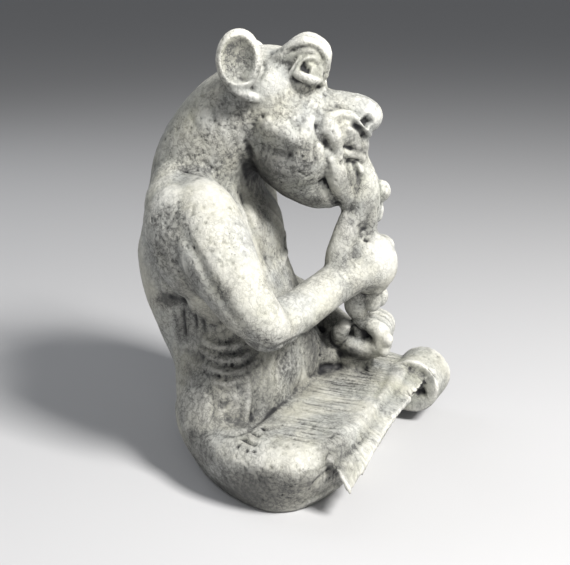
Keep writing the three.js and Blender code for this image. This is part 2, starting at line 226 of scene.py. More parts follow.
def points_of(piece):
    spots = np.empty(len(piece.data.vertices) * 3)
    piece.data.vertices.foreach_get("co", spots)
    return spots.reshape(-1, 3)


def set_points(piece, spots):
    piece.data.vertices.foreach_set("co", np.ascontiguousarray(spots, float).ravel())
    piece.data.update()


def ball(name, around, along):
    bpy.ops.object.select_all(action="DESELECT")
    bpy.ops.mesh.primitive_uv_sphere_add(segments=around, ring_count=along, radius=1)
    piece = bpy.context.object
    piece.name = name
    return piece


def curve(stations, t):
    """Points and directions on a smooth line through the stations, for t from 0 to 1."""
    knots = np.array(stations, float)
    knots = np.vstack((2 * knots[0] - knots[1], knots, 2 * knots[-1] - knots[-2]))
    at = np.clip(t, 0, 1) * (len(stations) - 1)
    i = np.minimum(at.astype(int), len(stations) - 2)
    f = (at - i)[:, None]
    a, b, c, d = knots[i], knots[i + 1], knots[i + 2], knots[i + 3]
    spot = 0.5 * (2 * b + (c - a) * f + (2 * a - 5 * b + 4 * c - d) * f**2
                  + (3 * b - a - 3 * c + d) * f**3)
    way = 0.5 * ((c - a) + 2 * (2 * a - 5 * b + 4 * c - d) * f + 3 * (3 * b - a - 3 * c + d) * f**2)
    return spot, way / np.linalg.norm(way, axis=1)[:, None]


CAP = 0.2  # the share of a ball's length that becomes each rounded end of a roll
ROLL_AROUND, ROLL_ALONG = 24, 28
LUMP_AROUND, LUMP_ALONG = 32, 20


def roll(name, stations, hand=RIGHT, side=(1, 0, 0), square=2, cap=None, head=False, fine=1):
    """A roll of clay. Each station is x, y, z, half-width and, if it differs, half-depth in mm.

    The half-width runs along `side`. Above 2, `square` makes the section boxier, and `cap` limits how
    far the rounded ends stand out.
    """
    rows = [(x * hand, y, z, rest[0], rest[-1]) for x, y, z, *rest in stations]
    piece = ball(name, ROLL_AROUND * fine, ROLL_ALONG * fine)
    spots = points_of(piece)
    from_start = np.arccos(np.clip(spots[:, 2], -1, 1)) / math.pi
    angle = np.arctan2(spots[:, 1], spots[:, 0])
    start = np.clip(from_start / CAP, 0, 1) * math.pi / 2
    end = np.clip((1 - from_start) / CAP, 0, 1) * math.pi / 2
    swell = np.sin(np.minimum(start, end))[:, None]
    t = np.clip((from_start - CAP) / (1 - 2 * CAP), 0, 1)
    line, way = curve([row[:3] for row in rows], t)
    sizes, _ = curve([(row[3], row[4], i) for i, row in enumerate(rows)], t)
    across = np.array(side, float) - way * (way @ np.array(side, float))[:, None]
    across /= np.linalg.norm(across, axis=1)[:, None]
    away = np.cross(way, across)
    reach = np.minimum(sizes[:, 0], sizes[:, 1])
    if cap:
        reach = np.minimum(reach, cap)
    beyond = (reach * (np.cos(start) - np.cos(end)))[:, None]
    c = (np.sign(np.cos(angle)) * np.abs(np.cos(angle)) ** (2 / square))[:, None]
    s = (np.sign(np.sin(angle)) * np.abs(np.sin(angle)) ** (2 / square))[:, None]
    moved = line + across * c * swell * sizes[:, :1] + away * s * swell * sizes[:, 1:2] - way * beyond
    set_points(piece, grid(moved, head))
    return piece


def lump(name, centre, sizes, hand=RIGHT, tip=0, turn=0, head=False):
    """An egg of clay, tipped about x and turned about z in degrees."""
    piece = ball(name, LUMP_AROUND, LUMP_ALONG)
    turned = Matrix.Rotation(math.radians(turn * hand), 3, "Z")
    turned = turned @ Matrix.Rotation(math.radians(tip), 3, "X")
    spots = (points_of(piece) * sizes) @ np.array(turned).T
    x, y, z = centre
    set_points(piece, grid(spots + (x * hand, y, z), head))
    return piece


def apply_modifier(piece, kind, **settings):
    only(piece)
    bpy.ops.object.modifier_add(type=kind)
    modifier = piece.modifiers[-1]
    for key, value in settings.items():
        setattr(modifier, key, value)
    bpy.ops.object.modifier_apply(modifier=modifier.name)
    return piece


SAME_POINT = 1e-7
SMOOTHING_SHARE = 0.5


def fuse(name, pieces, voxel, smoothing):
    """Joins closed forms into one skin of even faces and softens the joints between them."""
    only(*pieces)
    bpy.ops.object.join()
    whole = bpy.context.object
    whole.name = name
    bpy.ops.object.mode_set(mode="EDIT")
    bpy.ops.mesh.select_all(action="SELECT")
    bpy.ops.mesh.remove_doubles(threshold=SAME_POINT)
    bpy.ops.mesh.normals_make_consistent(inside=False)
    bpy.ops.object.mode_set(mode="OBJECT")
    apply_modifier(whole, "REMESH", mode="VOXEL", voxel_size=voxel * MM, adaptivity=0)
    apply_modifier(whole, "SMOOTH", factor=SMOOTHING_SHARE, iterations=smoothing)
    print(name, len(whole.data.polygons), "faces")
    return whole


# %% [markdown]
# ### A surface to draw on
#
# A sculptor draws with a tool on the clay. Here a line of sight from the camera finds the place on the
# surface, and a stroke moves the points near its path along their normals. A brush in sculpt mode does
# the same, but it needs a hand and a window.

# %% A surface to draw on
STROKE_REACH = 3  # a stroke is felt as far out as this many times its width
FAINTEST_END = 0.15
STEPS_PER_PIXEL_POINT = 4


def normals_of(piece):
    spots = np.empty(len(piece.data.vertices) * 3)
    piece.data.vertex_normals.foreach_get("vector", spots)
    return spots.reshape(-1, 3)


class Skin:
    """The casting's surface while it is being carved."""

    def __init__(self, piece):
        self.piece = piece
        self.refresh()

    def refresh(self):
        self.spots = points_of(self.piece)
        self.normals = normals_of(self.piece)
        self.tree = BVHTree.FromObject(self.piece, bpy.context.evaluated_depsgraph_get())

    def set(self):
        set_points(self.piece, self.spots)
        self.refresh()

    def struck(self, px, py):
        """Where the sight through a pixel meets the skin, and the skin's direction there."""
        return self.tree.ray_cast(CAMERA_FROM, sight(px, py))[:2]

    def seen(self, px, py):
        hit = self.struck(px, py)[0]
        return None if hit is None else np.array(hit)

    def snap(self, spot):
        return np.array(self.tree.find_nearest(Vector(spot))[0])

    def path(self, pixels):
        t = np.linspace(0, 1, STEPS_PER_PIXEL_POINT * len(pixels))
        smooth = curve([(x, y, 0) for x, y in pixels], t)[0] if len(pixels) > 1 else [(*pixels[0], 0)]
        hits = [self.seen(x, y) for x, y, _ in smooth]
        return np.array([hit for hit in hits if hit is not None])

    def stroke(self, path, width, depth, taper=0.2):
        """Pushes the skin in along a path: width and depth in mm, a negative depth raises it."""
        if len(path) == 0:
            return
        wide = width * MM
        lowest, highest = path.min(0) - STROKE_REACH * wide, path.max(0) + STROKE_REACH * wide
        near = np.all((self.spots > lowest) & (self.spots < highest), axis=1).nonzero()[0]
        spots = self.spots[near]
        away = np.full(len(near), 1.0)
        along = np.full(len(near), 0.5)
        if len(path) == 1:
            away = np.linalg.norm(spots - path[0], axis=1)
        for i, (a, b) in enumerate(zip(path[:-1], path[1:])):
            step = b - a
            t = np.clip((spots - a) @ step / max(step @ step, 1e-12), 0, 1)
            gap = np.linalg.norm(spots - a - t[:, None] * step, axis=1)
            closer = gap < away
            away = np.where(closer, gap, away)
            along = np.where(closer, (i + t) / (len(path) - 1), along)
        fade = np.clip(np.minimum(along, 1 - along) / taper, FAINTEST_END, 1) if len(path) > 1 else 1
        push = depth * MM * np.exp(-(away / wide) ** 2) * fade
        self.spots[near] -= self.normals[near] * push[:, None]


# %% [markdown]
# ## The base
#
# The base is an egg-shaped foot that swells out into the lap and turns in over a rounded rim. A
# ball is wrapped to that profile: a flat underside, a swelling wall, the rim, and the flat lap.

# %% Base
BASE_HEIGHT = 48
RIM = 13
FOOT_HALF_WIDTH, FOOT_BACK, FOOT_FRONT = 100, 78, 56
LAP_HALF_WIDTH, LAP_BACK, LAP_FRONT = 110, 88, 68
WIDEST_LINE = -20
UNDERSIDE, WALL, RIM_TURN, LAP = 0.25, 0.35, 0.15, 0.25  # shares of the ball from pole to pole
FOOT_FULLNESS_BACK, FOOT_FULLNESS_FRONT = 1.6, 2.5
LAP_FULLNESS_BACK, LAP_FULLNESS_FRONT = 1.8, 4
SWELL_POWER = 0.7
BASE_AROUND, BASE_ALONG = 128, 90


def oval(angle, half_width, half_depth, fullness):
    across = (np.abs(np.cos(angle)) / half_width) ** fullness
    away = (np.abs(np.sin(angle)) / half_depth) ** fullness
    return (across + away) ** (-1 / fullness)


def base():
    piece = ball("base", BASE_AROUND, BASE_ALONG)
    spots = points_of(piece)
    v = 1 - np.arccos(np.clip(spots[:, 2], -1, 1)) / math.pi
    angle = np.arctan2(spots[:, 1], spots[:, 0])
    turn = np.clip((v - UNDERSIDE - WALL) / RIM_TURN, 0, 1) * math.pi / 2
    share = np.clip(v / UNDERSIDE, 0, 1) - RIM / LAP_FRONT * (1 - np.cos(turn))
    share *= np.clip((1 - v) / LAP, 0, 1)
    height = np.clip((v - UNDERSIDE) / WALL, 0, 1) * (BASE_HEIGHT - RIM) + RIM * np.sin(turn)
    rise = np.clip(height / (BASE_HEIGHT - RIM), 0, 1)
    rise = (rise * rise * (3 - 2 * rise)) ** SWELL_POWER
    back = np.sin(angle) > 0
    foot = np.where(back,
                    oval(angle, FOOT_HALF_WIDTH, FOOT_BACK - WIDEST_LINE, FOOT_FULLNESS_BACK),
                    oval(angle, FOOT_HALF_WIDTH, FOOT_FRONT + WIDEST_LINE, FOOT_FULLNESS_FRONT))
    lap = np.where(back,
                   oval(angle, LAP_HALF_WIDTH, LAP_BACK - WIDEST_LINE, LAP_FULLNESS_BACK),
                   oval(angle, LAP_HALF_WIDTH, LAP_FRONT + WIDEST_LINE, LAP_FULLNESS_FRONT))
    reach = (foot + (lap - foot) * rise) * share
    x, y = np.cos(angle) * reach, WIDEST_LINE + np.sin(angle) * reach
    set_points(piece, grid(np.column_stack((x, y, height))))
    return piece


# %% [markdown]
# ## The big masses
#
# Torso, neck, shoulders and arms are wide rolls. Fused at a coarse voxel and softened well, they run
# into each other as muscle and slack skin do.

# %% Torso, arms and head
BODY_VOXEL, BODY_SMOOTHING = 1.8, 9


def masses():
    torso = roll("torso", [
        (0, 31, 44, 91, 38), (0, 35, 62, 82, 42), (0, 43, 84, 66, 44), (0, 55, 108, 62, 46),
        (0, 64, 132, 65, 45), (0, 66, 158, 66, 44), (0, 70, 184, 52, 36), (0, 66, 212, 43, 34),
        (0, 47, 238, 38, 32), (0, 34, 252, 32, 28),
    ], square=2.3, cap=16, fine=2)
    yoke = roll("yoke", [
        (-54, 64, 180, 20, 24), (-30, 74, 192, 20, 25), (0, 79, 200, 20, 24), (30, 76, 192, 20, 25),
        (54, 70, 179, 20, 24),
    ], side=(0, 1, 0))
    blade = roll("shoulder_blade", [
        (-50, 66, 186, 22), (-60, 56, 176, 26, 28), (-69, 45, 158, 22, 26), (-66, 39, 138, 16, 20),
        (-58, 36, 120, 11, 14),
    ])
    right_upper = roll("right_upper_arm", [
        (-40, 60, 190, 19, 20), (-60, 43, 177, 25, 28), (-75, 21, 157, 23, 25), (-80, 3, 136, 18.5, 20.5),
        (-76, -9, 121, 15.5, 16.5), (-71, -13, 115, 14),
    ])
    left_upper = roll("left_upper_arm", [
        (40, 70, 190, 20), (58, 70, 177, 25), (70, 69, 152, 22), (73, 65, 128, 19), (71, 53, 106, 16, 17),
        (70, 43, 97, 15),
    ])
    left_fore = roll("left_forearm", [
        (70, 44, 96, 15), (70, 23, 88, 15, 14), (65, 2, 79, 13, 12), (57, -16, 73, 12, 10),
    ], side=(0, 0, 1))
    right_fore = roll("right_forearm", [
        (-72, -9, 115, 15), (-53, -14, 116, 15.5), (-28, -21, 121, 14.5), (-2, -29, 128, 14, 15),
        (16, -37, 134, 15, 17),
    ], side=(0, 0, 1))
    palm = lump("fist_palm", (-1, -48, 138), (19, 21, 22.5), head=True)
    thumb = roll("thumb", [
        (-12, -30, 128, 9), (-13, -27, 142, 10), (-12, -30, 156, 9), (-9, -34, 168, 8.5), (-4, -36, 176, 7),
    ], head=True)
    open_palm = roll("open_palm", [
        (62, -6, 76, 12, 11), (56, -18, 70, 14, 11), (51, -32, 67, 15, 10), (50, -46, 70, 13, 9),
    ])
    heel = lump("heel", (56, -24, 55), (15, 15, 11))
    skull = lump("skull", (0, 22, 257), (35, 36, 31.5), head=True)
    face = lump("face", (0, 0, 241), (33, 26, 26), head=True)
    cheeks = [lump("cheek", (-15, 6, 226), (25, 29, 34), hand, tip=-8, head=True) for hand in BOTH]
    jaw = roll("jaw", [
        (0, 16, 208, 27, 15), (0, 2, 198, 24, 16), (0, -13, 190, 18, 14), (0, -19, 188, 14, 11),
    ], head=True)
    fold = lump("skin_fold", (49, -5, 58), (14, 12, 15))
    pieces = [base(), torso, yoke, blade, right_upper, right_fore, palm, thumb, left_upper, left_fore,
              open_palm, heel, fold, skull, face, jaw, *cheeks]
    snout = roll("snout", [
        (0, -14, 247, 20, 12), (0, -30, 245, 18, 12), (0, -44, 241, 18, 11.5),
    ], head=True)
    upper_mouth = lump("upper_mouth", (0, -32, 222), (18, 15, 14), head=True)
    shank = roll("haunch", [
        (0, -35, 210, 13, 12), (0, -40, 195, 14), (0, -42, 178, 13, 13.5), (0, -44, 166, 10, 11),
        (0, -45, 154, 6), (0, -46, 140, 6),
    ], head=True)
    pieces += [snout, upper_mouth, shank]
    for hand in BOTH:
        pieces.append(roll("brow_mass", [
            (-15, 20, 272, 8), (-18, 8, 280, 8), (-19, -3, 283, 8), (-16, -11, 276, 7),
        ], hand, head=True))
        pieces.append(lump("eyeball", (-21, -4, 271), (10.5, 11, 11), hand, head=True))
        pieces.append(lump("pad", (-17, -26, 234), (11, 10, 12), hand, head=True))
        pieces.append(roll("lip_mass", [
            (-19, -13, 232, 8), (-19, -20, 216, 8), (-14, -26, 202, 8), (-9, -31, 189, 6),
        ], hand, head=True))
    return pieces


body = fuse("body", masses(), BODY_VOXEL, BODY_SMOOTHING)
ground = Skin(body)

# %% [markdown]
# ## Rolls laid on the body
#
# Lids, lips and folds follow the face and the flank. So their stations are pixels of the photograph,
# and a sight through each pixel tells where on the fused body the roll has to lie.

# %% Rolls laid on the body
NEXT_FORM = 25 * MM
LAID_SIDE = (0, 0.6, 0.8)


def laid(name, stations, hand=RIGHT, head=True):
    """A roll laid on the body. Each station is a pixel, a radius in mm and how far it stands out.

    Stations where another form, standing well in front, hides the body are left out.
    """
    rows, last = [], None
    for px, py, radius, out in stations:
        spot, way = ground.struck(px, py)
        if spot is None or (last is not None and np.linalg.norm(spot - last) > NEXT_FORM):
            continue
        last = spot
        rows.append((*off_grid(spot + way * out * MM, head), radius))
    print(name, "lies on", len(rows), "of", len(stations), "stations")
    return roll(name, rows, hand, side=LAID_SIDE, head=head)


# %% [markdown]
# ## Fingers
#
# The near hand is a fist round the shank, and the far one lies open under it. Fingers and all the
# smaller forms are made one by one and fused later at a fine voxel, so that their edges stay crisp.

# %% Fingers
FIST_FINGER_LEVELS = (149, 140, 131, 123)
LEFT_FINGER_PLACES = (42, 51, 60, 68)


def fist_fingers():
    return [roll("finger", [
        (-6, -56 + i, z - 1, 6), (4, -60 + i, z, 6.5), (13, -57 + i, z, 6.5), (16, -50 + i, z - 1, 6),
    ], side=(0, 0, 1), head=True) for i, z in enumerate(FIST_FINGER_LEVELS)]


def open_fingers():
    fingers = [roll("left_finger", [
        (x, -42 + 2 * i, 69, 5), (x, -49 + 2 * i, 73, 6.5), (x + 1, -49 + 2 * i, 81, 7.5),
        (x + 2, -42 + 2 * i, 85, 6.5),
    ]) for i, x in enumerate(LEFT_FINGER_PLACES)]
    knuckles = [lump("knuckle", (40, -54, 78), (5, 5.5, 6)),
                lump("knuckle", (41, -52, 69), (5, 5, 5.5))]
    thumb = roll("left_thumb", [(46, -16, 72, 7), (40, -18, 79, 6.5), (38, -23, 85, 5)])
    return [thumb, *fingers, *knuckles]


# %% [markdown]
# ## The haunch
#
# A joint of meat is gnawed from the top. Its shank is already in the body, and here come its knuckle
# beside the mouth, a scrap, and the bulbs and stem that hang below the fist.

# %% Haunch
def haunch():
    knuckle = lump("knuckle", (8, -55, 188), (7, 7.5, 8), head=True)
    scrap = lump("scrap", (6, -53, 174), (4, 5, 9), head=True)
    stem = roll("stem", [(29, -35, 116, 6.5), (34, -32, 104, 8.5), (41, -33, 93, 6.5), (48, -32, 76, 5)])
    bulb = roll("bulb", [(31, -44, 120, 6), (37, -43, 106, 7)])
    far_bulb = lump("far_bulb", (44, -47, 109), (6, 6, 8))
    return [knuckle, scrap, stem, bulb, far_bulb]


# %% [markdown]
# ## The face
#
# A heavy brow hangs over each eye, and lids, nostril and lips are thick rims of clay. Rims are rolls: a
# groove alone would leave them flat. One half is drawn, and both halves are made from it.

# %% Face
FACE_ROLLS = {
    "upper_lid": [(290, 76, 1.6, 0), (295, 68, 2, 0.6), (302, 60, 2.2, 1), (310, 57, 2.2, 1),
                  (317, 60, 2.2, 1), (321, 67, 2, 0.6), (321, 76, 1.6, 0)],
    "lower_lid": [(294, 71, 2.2, 0), (300, 75, 3.4, 0.4), (307, 78, 4, 0.4), (314, 80, 3.6, 0.4),
                  (320, 80, 2.2, 0)],
    "inner_corner": [(320, 81, 2, 0), (322, 86, 2.6, 0.6), (323, 91, 2.2, 0)],
    "nostril_rim": [(324, 131, 3.6, -0.5), (327, 121, 4.6, 0), (336, 116, 4, 0.5), (347, 115, 3.2, 0.8),
                    (358, 120, 2.8, 1), (366, 127, 2.6, 0.8), (368, 135, 2.4, 0.4)],
    "lip_corner": [(329, 125, 6.5, -1), (333, 135, 6.5, -0.6), (337, 147, 4.4, -0.6),
                   (339, 157, 2.8, -0.4)],
    "philtrum": [(349, 127, 4, -1.6), (355, 136, 4.4, -1.2), (357, 147, 4, -1.4)],
    "lower_lip": [(331, 160, 4, -2.4), (335, 172, 7, -4.2), (340, 184, 8, -4.6), (344, 196, 8, -4.8),
                  (344, 206, 6, -4)],
    "jaw_fold": [(322, 184, 7, -5), (326, 194, 8, -5.4), (331, 203, 7, -5)],
    "cheek_edge": [(258, 124, 9, -8), (272, 128, 10, -7.6), (286, 133, 10, -7.2), (298, 139, 9, -6),
                   (306, 132, 8, -5.6), (311, 120, 7, -5.4)],
    "rim_bed": [(355, 125, 4.4, -2.4), (361, 130, 4.4, -2.4)],
    "upper_lip": [(343, 151, 3.2, -0.8), (353, 155, 3.8, -1), (363, 158, 3, -0.8)],
    "tooth": [(349, 166, 1.8, 0.4), (352, 176, 2, 0.5), (354, 186, 1.4, 0)],
    "gum": [(358, 163, 2.2, 0.2), (361, 172, 2.2, 0.2)],
}


def half_face(hand):
    brow = roll("brow", [
        (-17, 20, 277, 4.5), (-23, 9, 284, 5.2), (-25.5, -3, 289.5, 5.8), (-21.5, -13.5, 283, 5.8),
        (-16, -14, 271, 5),
    ], hand, head=True)
    return [brow, *(laid(name, stations, hand) for name, stations in FACE_ROLLS.items())]


# %% [markdown]
# ## Folds of the flank
#
# Below the ribs the skin hangs in curved folds, one under the other, and one more runs down to the lap.
# They are thin rolls, sunk so far that only their backs show.

# %% Folds of the flank
FLANK_ROLLS = [
    [(204, 341, 2.4, -0.8), (216, 347, 3, -0.6), (230, 347, 3, -0.6), (239, 344, 2.6, -0.8)],
    [(203, 352, 2.6, -0.8), (219, 359, 3.2, -0.4), (236, 359, 3.4, -0.4), (246, 354, 2.8, -0.8)],
    [(206, 366, 2.6, -0.8), (222, 372, 3, -0.4), (240, 371, 3, -0.4), (255, 361, 2.4, -0.8)],
    [(212, 381, 2.2, -0.8), (226, 385, 2.8, -0.5), (240, 380, 2.4, -0.8)],
    [(247, 378, 2.6, -0.8), (247, 396, 3.4, -0.5), (245, 420, 3, -0.8)],
]


def flank(hand):
    return [laid("flank_fold", stations, hand, head=False) for stations in FLANK_ROLLS]


# %% [markdown]
# ## The ears
#
# An ear is an egg-shaped shell with a wide hollow. A second egg cuts the hollow out, because that
# leaves a clean rim, and a roll below it makes the lobe.

# %% Ears
LEFT_EAR_DROP = 11
EAR_TURN = 10


def ear(hand):
    drop = LEFT_EAR_DROP if hand == LEFT else 0
    shell = lump("ear", (-40, 38, 281 - drop), (9, 15, 20), hand, turn=EAR_TURN, head=True)
    hollow = lump("ear_hollow", (-51, 37, 281.5 - drop), (10.8, 13.4, 18), hand, turn=EAR_TURN, head=True)
    apply_modifier(shell, "BOOLEAN", operation="DIFFERENCE", object=hollow, solver="EXACT")
    only(hollow)
    bpy.ops.object.delete()
    lobe = roll("ear_lobe", [
        (-38, 46, 270 - drop, 4), (-41, 39, 262 - drop, 4.2), (-38, 31, 258 - drop, 3.8),
        (-31, 24, 256 - drop, 2.6),
    ], hand, head=True)
    return [shell, lobe]


# %% [markdown]
# ## The hide and its rolled corner
#
# A hide hangs from the front of the lap, thin and wavy at its hem, low at the figure's right. Its
# other corner is rolled forward into a scroll, whose end shows the turns as a hollow.

# %% Hide
HIDE_THICKNESS, HEM_THINNING = 6, 0.35
HIDE_START, HIDE_RUN, HIDE_CUTS = -92, 170, 39
HIDE_ROOT_Y, HIDE_HEM_Y, HIDE_ROOT_Z = -60.2, -76, 40.8
HIDE_DROOP, DROOP_LOST, DROOP_ENDS = 18, 14, 0.55
HEM_WAVES, WAVE_HEIGHT = 3, 1.6


def hide():
    bpy.ops.object.select_all(action="DESELECT")
    bpy.ops.mesh.primitive_cube_add(size=1)
    piece = bpy.context.object
    piece.name = "hide"
    bpy.ops.object.mode_set(mode="EDIT")
    bpy.ops.mesh.subdivide(number_cuts=HIDE_CUTS)
    bpy.ops.object.mode_set(mode="OBJECT")
    spots = points_of(piece)
    run, out = spots[:, 0] + 0.5, 0.5 - spots[:, 1]
    wave = np.sin(run * HEM_WAVES * 2 * math.pi) * WAVE_HEIGHT * (1 - run)
    level = np.clip(run / DROOP_ENDS, 0, 1)
    droop = HIDE_DROOP - DROOP_LOST * level * level * (3 - 2 * level)
    x = HIDE_START + HIDE_RUN * run
    y = HIDE_ROOT_Y + (HIDE_HEM_Y - HIDE_ROOT_Y + wave / 2) * out
    z = HIDE_ROOT_Z - droop * out**1.5 - wave * out
    z += spots[:, 2] * HIDE_THICKNESS * (1 - HEM_THINNING * out)
    set_points(piece, grid(np.column_stack((x, y, z))))
    return piece


# %% Scroll
SCROLL_RADIUS, SCROLL_WIDTH = 21, 36
SCROLL_SET_BACK, SCROLL_LIFT = 4, 9
SCROLL_AROUND, SCROLL_ALONG = 64, 48
END_SPREAD, SIDE_SPREAD = 1.6, 1.25


def scroll():
    """A ball pressed to a drum with rounded edges, its axis along x."""
    centre = (LAP_HALF_WIDTH - SCROLL_WIDTH / 2, SCROLL_SET_BACK - LAP_FRONT,
              SCROLL_LIFT + SCROLL_RADIUS)
    drum = ball("scroll", SCROLL_AROUND, SCROLL_ALONG)
    spots = points_of(drum)
    radial = np.linalg.norm(spots[:, :2], axis=1)
    angle = np.arctan2(spots[:, 1], spots[:, 0])
    reach = np.clip(radial * END_SPREAD, 0, 1) * SCROLL_RADIUS
    along = np.sign(spots[:, 2]) * np.clip(np.abs(spots[:, 2]) * SIDE_SPREAD, 0, 1) * SCROLL_WIDTH / 2
    set_points(drum, grid(np.column_stack((along, np.cos(angle) * reach, np.sin(angle) * reach)) + centre))
    return drum


# %% [markdown]
# ## The casting
#
# All forms are joined and remade as one skin at a fine voxel. A real casting is one piece too, and one
# skin lets a stroke run from form to form.

# %% Casting
CASTING_VOXEL, CASTING_SMOOTHING = 1.1, 4
details = [*fist_fingers(), *open_fingers(), *haunch(), hide(), scroll()]
for hand in BOTH:
    details += [*half_face(hand), *ear(hand), *flank(hand)]
gargoyle = fuse("gargoyle_casting", [body, *details], CASTING_VOXEL, CASTING_SMOOTHING)

# %% [markdown]
# ## Carving
#
# The carving is drawn as strokes. A stroke is a short list of pixels in the photograph, cast from
# the camera onto the clay, so each one lies on the surface where the picture shows it. It
# pushes the skin in (a groove) or pulls it out (a ridge), and fades at its ends. Strokes on the head,
# the neck and the flank are repeated on the side that the picture hides. A row gives the width and
# depth in mm, and then the pixels.

# %% Strokes
def mirrored(path, head):
    """The same path on the figure's other side, about its middle or about the turned head's."""
    if not head:
        return path * (-1, 1, 1)
    c, s = math.cos(HEAD_TURN), math.sin(HEAD_TURN)
    neck = grid((0, NECK_LINE, 0))[0]
    plane = np.array((c, s, 0))
    return path - 2 * ((path - neck) @ plane)[:, None] * plane


def carve(skin, strokes, head=False, both=True):
    for width, depth, *pixels in strokes:
        path = skin.path(pixels)
        skin.stroke(path, width, depth)
        if both and len(path):
            other = np.array([skin.snap(spot) for spot in mirrored(path, head)])
            skin.stroke(other, width, depth)
    skin.set()
    print("carved", len(strokes), "strokes")


skin = Skin(gargoyle)

# %% [markdown]
# ### Forms of the head
#
# The deep ones come first: under the cheek, in the nostril, under the brow, in the eye. Then a few
# ridges bring forms out, and thin lines part the lids, lips and teeth.

# %% Head strokes
HEAD_HOLLOWS = [
    (7.5, 3.8, (250, 146), (265, 150), (282, 156), (298, 163)),
    (3.2, 1.8, (338, 204)),
    (3.4, 4.6, (363, 116), (367, 121), (371, 127)),
    (2.4, 2.0, (318, 118), (318, 130), (322, 140), (330, 149)),
    (2.6, 2.6, (284, 62), (290, 53), (299, 49), (310, 48), (319, 52), (324, 62), (325, 72)),
    (2.0, 1.4, (343, 124), (352, 125), (361, 131)),
    (1.7, 1.2, (339, 162), (343, 165)),
    (2.4, 3.0, (301, 65), (306, 68), (312, 71)),
]
HEAD_RIDGES = [
    (9.0, -1.4, (262, 116), (278, 122), (294, 130)),
    (4.0, -1.2, (352, 97), (366, 101), (376, 109)),
    (2.2, -1.2, (350, 136), (354, 146)),
    (3.0, -1.2, (308, 101), (318, 108)),
]
HEAD_LINES = [
    (1.5, 0.9, (291, 78), (299, 83), (307, 87), (314, 89)),
    (1.1, 1.2, (289, 76), (293, 69), (299, 61), (304, 56), (311, 54), (318, 56)),
    (1.2, 0.7, (322, 93), (327, 96)),
    (1.7, 0.8, (325, 142), (325, 152), (328, 164), (331, 176)),
    (1.5, 1.3, (316, 138), (315, 152), (317, 166)),
    (1.2, 0.8, (347, 169), (350, 180), (353, 188)),
    (1.2, 0.7, (356, 168), (358, 178), (359, 186)),
    (1.2, 1.0, (343, 147), (352, 149), (361, 152)),
    (1.2, 1.0, (346, 158), (355, 160), (364, 164)),
    (1.3, 0.9, (333, 106), (342, 107)),
    (1.3, 0.9, (345, 111), (352, 113)),
    (1.8, 1.3, (262, 58), (264, 70), (258, 82)),
    (1.6, 1.4, (236, 76), (246, 80), (256, 79)),
    (1.6, 0.8, (268, 56), (276, 52), (284, 50)),
    (2.6, 0.9, (372, 205), (368, 220), (366, 234)),
    (2.6, 0.8, (352, 200), (350, 215), (354, 228)),
    (1.6, 1.2, (379, 205), (379, 222)),
    (1.8, 1.8, (363, 239), (369, 241)),
]
carve(skin, HEAD_HOLLOWS, head=True)
carve(skin, HEAD_RIDGES, head=True)
carve(skin, HEAD_LINES, head=True)

# %% [markdown]
# ### Body
#
# The arm is parted from the flank by a deep band. Ribs show as upright grooves, and below
# them the slack skin hangs in curved folds down to the lap.

# %% Body strokes
ARM_STROKES = [
    (4.4, 1.8, (176, 218), (186, 238), (197, 258), (209, 280), (223, 302), (238, 324), (251, 340)),
    (3.4, 1.6, (236, 182), (244, 202), (252, 222), (260, 242), (267, 260), (274, 278)),
    (2.4, 1.8, (256, 346), (268, 350), (282, 346), (298, 338), (318, 326)),
    (2.6, -1.6, (266, 207), (275, 217), (282, 229), (286, 244), (285, 258), (281, 268)),
    (1.6, 0.9, (178, 169), (192, 173), (206, 177)),
    (1.5, 0.8, (200, 160), (208, 165), (214, 170)),
    (2.6, 2.6, (352, 324), (358, 331), (367, 335)),
    (4.0, 1.2, (360, 222), (364, 232)),
]
FLANK_STROKES = [
    (5.0, 2.2, (164, 298), (178, 301), (190, 299)),
    (1.6, 1.4, (183, 306), (184, 322), (186, 340)),
    (1.6, 1.0, (194, 304), (196, 318), (197, 332)),
    (1.6, 0.8, (173, 303), (175, 318), (178, 334)),
    (2.4, 1.2, (203, 316), (204, 326), (206, 336)),
    (3.4, -1.4, (214, 316), (226, 330)),
    (2.4, 1.0, (160, 250), (167, 268), (177, 286)),
    (2.0, -1.0, (180, 252), (186, 272), (192, 292)),
    (1.5, 0.5, (206, 353), (222, 357), (240, 354), (254, 344)),
    (1.5, 0.5, (208, 366), (224, 369), (242, 367), (257, 356)),
    (3.2, 0.9, (254, 386), (257, 404), (249, 426)),
    (2.4, -1.0, (232, 392), (238, 404), (234, 420)),
    (2.0, 0.9, (228, 398), (226, 412), (229, 424)),
    (3.4, 1.6, (222, 400), (221, 410)),
    (2.6, 1.2, (205, 380), (212, 400), (214, 425)),
    (1.9, 0.9, (261, 354), (264, 372), (257, 392)),
    (1.7, 0.7, (270, 352), (267, 368), (269, 390)),
    (1.7, 0.6, (279, 350), (276, 366), (275, 388)),
    (6.0, -1.6, (289, 368)),
    (2.4, 0.9, (301, 348), (303, 366), (299, 384), (289, 398)),
    (2.0, 1.3, (207, 433), (226, 436), (245, 432), (262, 420), (276, 408), (290, 398)),
    (3.4, 1.4, (182, 350), (196, 355), (206, 360)),
    (2.2, 0.9, (176, 380), (190, 386), (204, 386)),
]
NECK_STROKES = [
    (3.4, 1.2, (222, 88), (227, 112), (234, 140), (243, 165), (250, 188)),
    (3.0, 1.0, (232, 92), (238, 118), (246, 142), (254, 162)),
    (2.6, 0.8, (212, 96), (214, 120), (220, 145)),
    (2.6, 0.7, (190, 110), (196, 130), (206, 150)),
]
carve(skin, ARM_STROKES, both=False)
carve(skin, FLANK_STROKES)
carve(skin, NECK_STROKES)

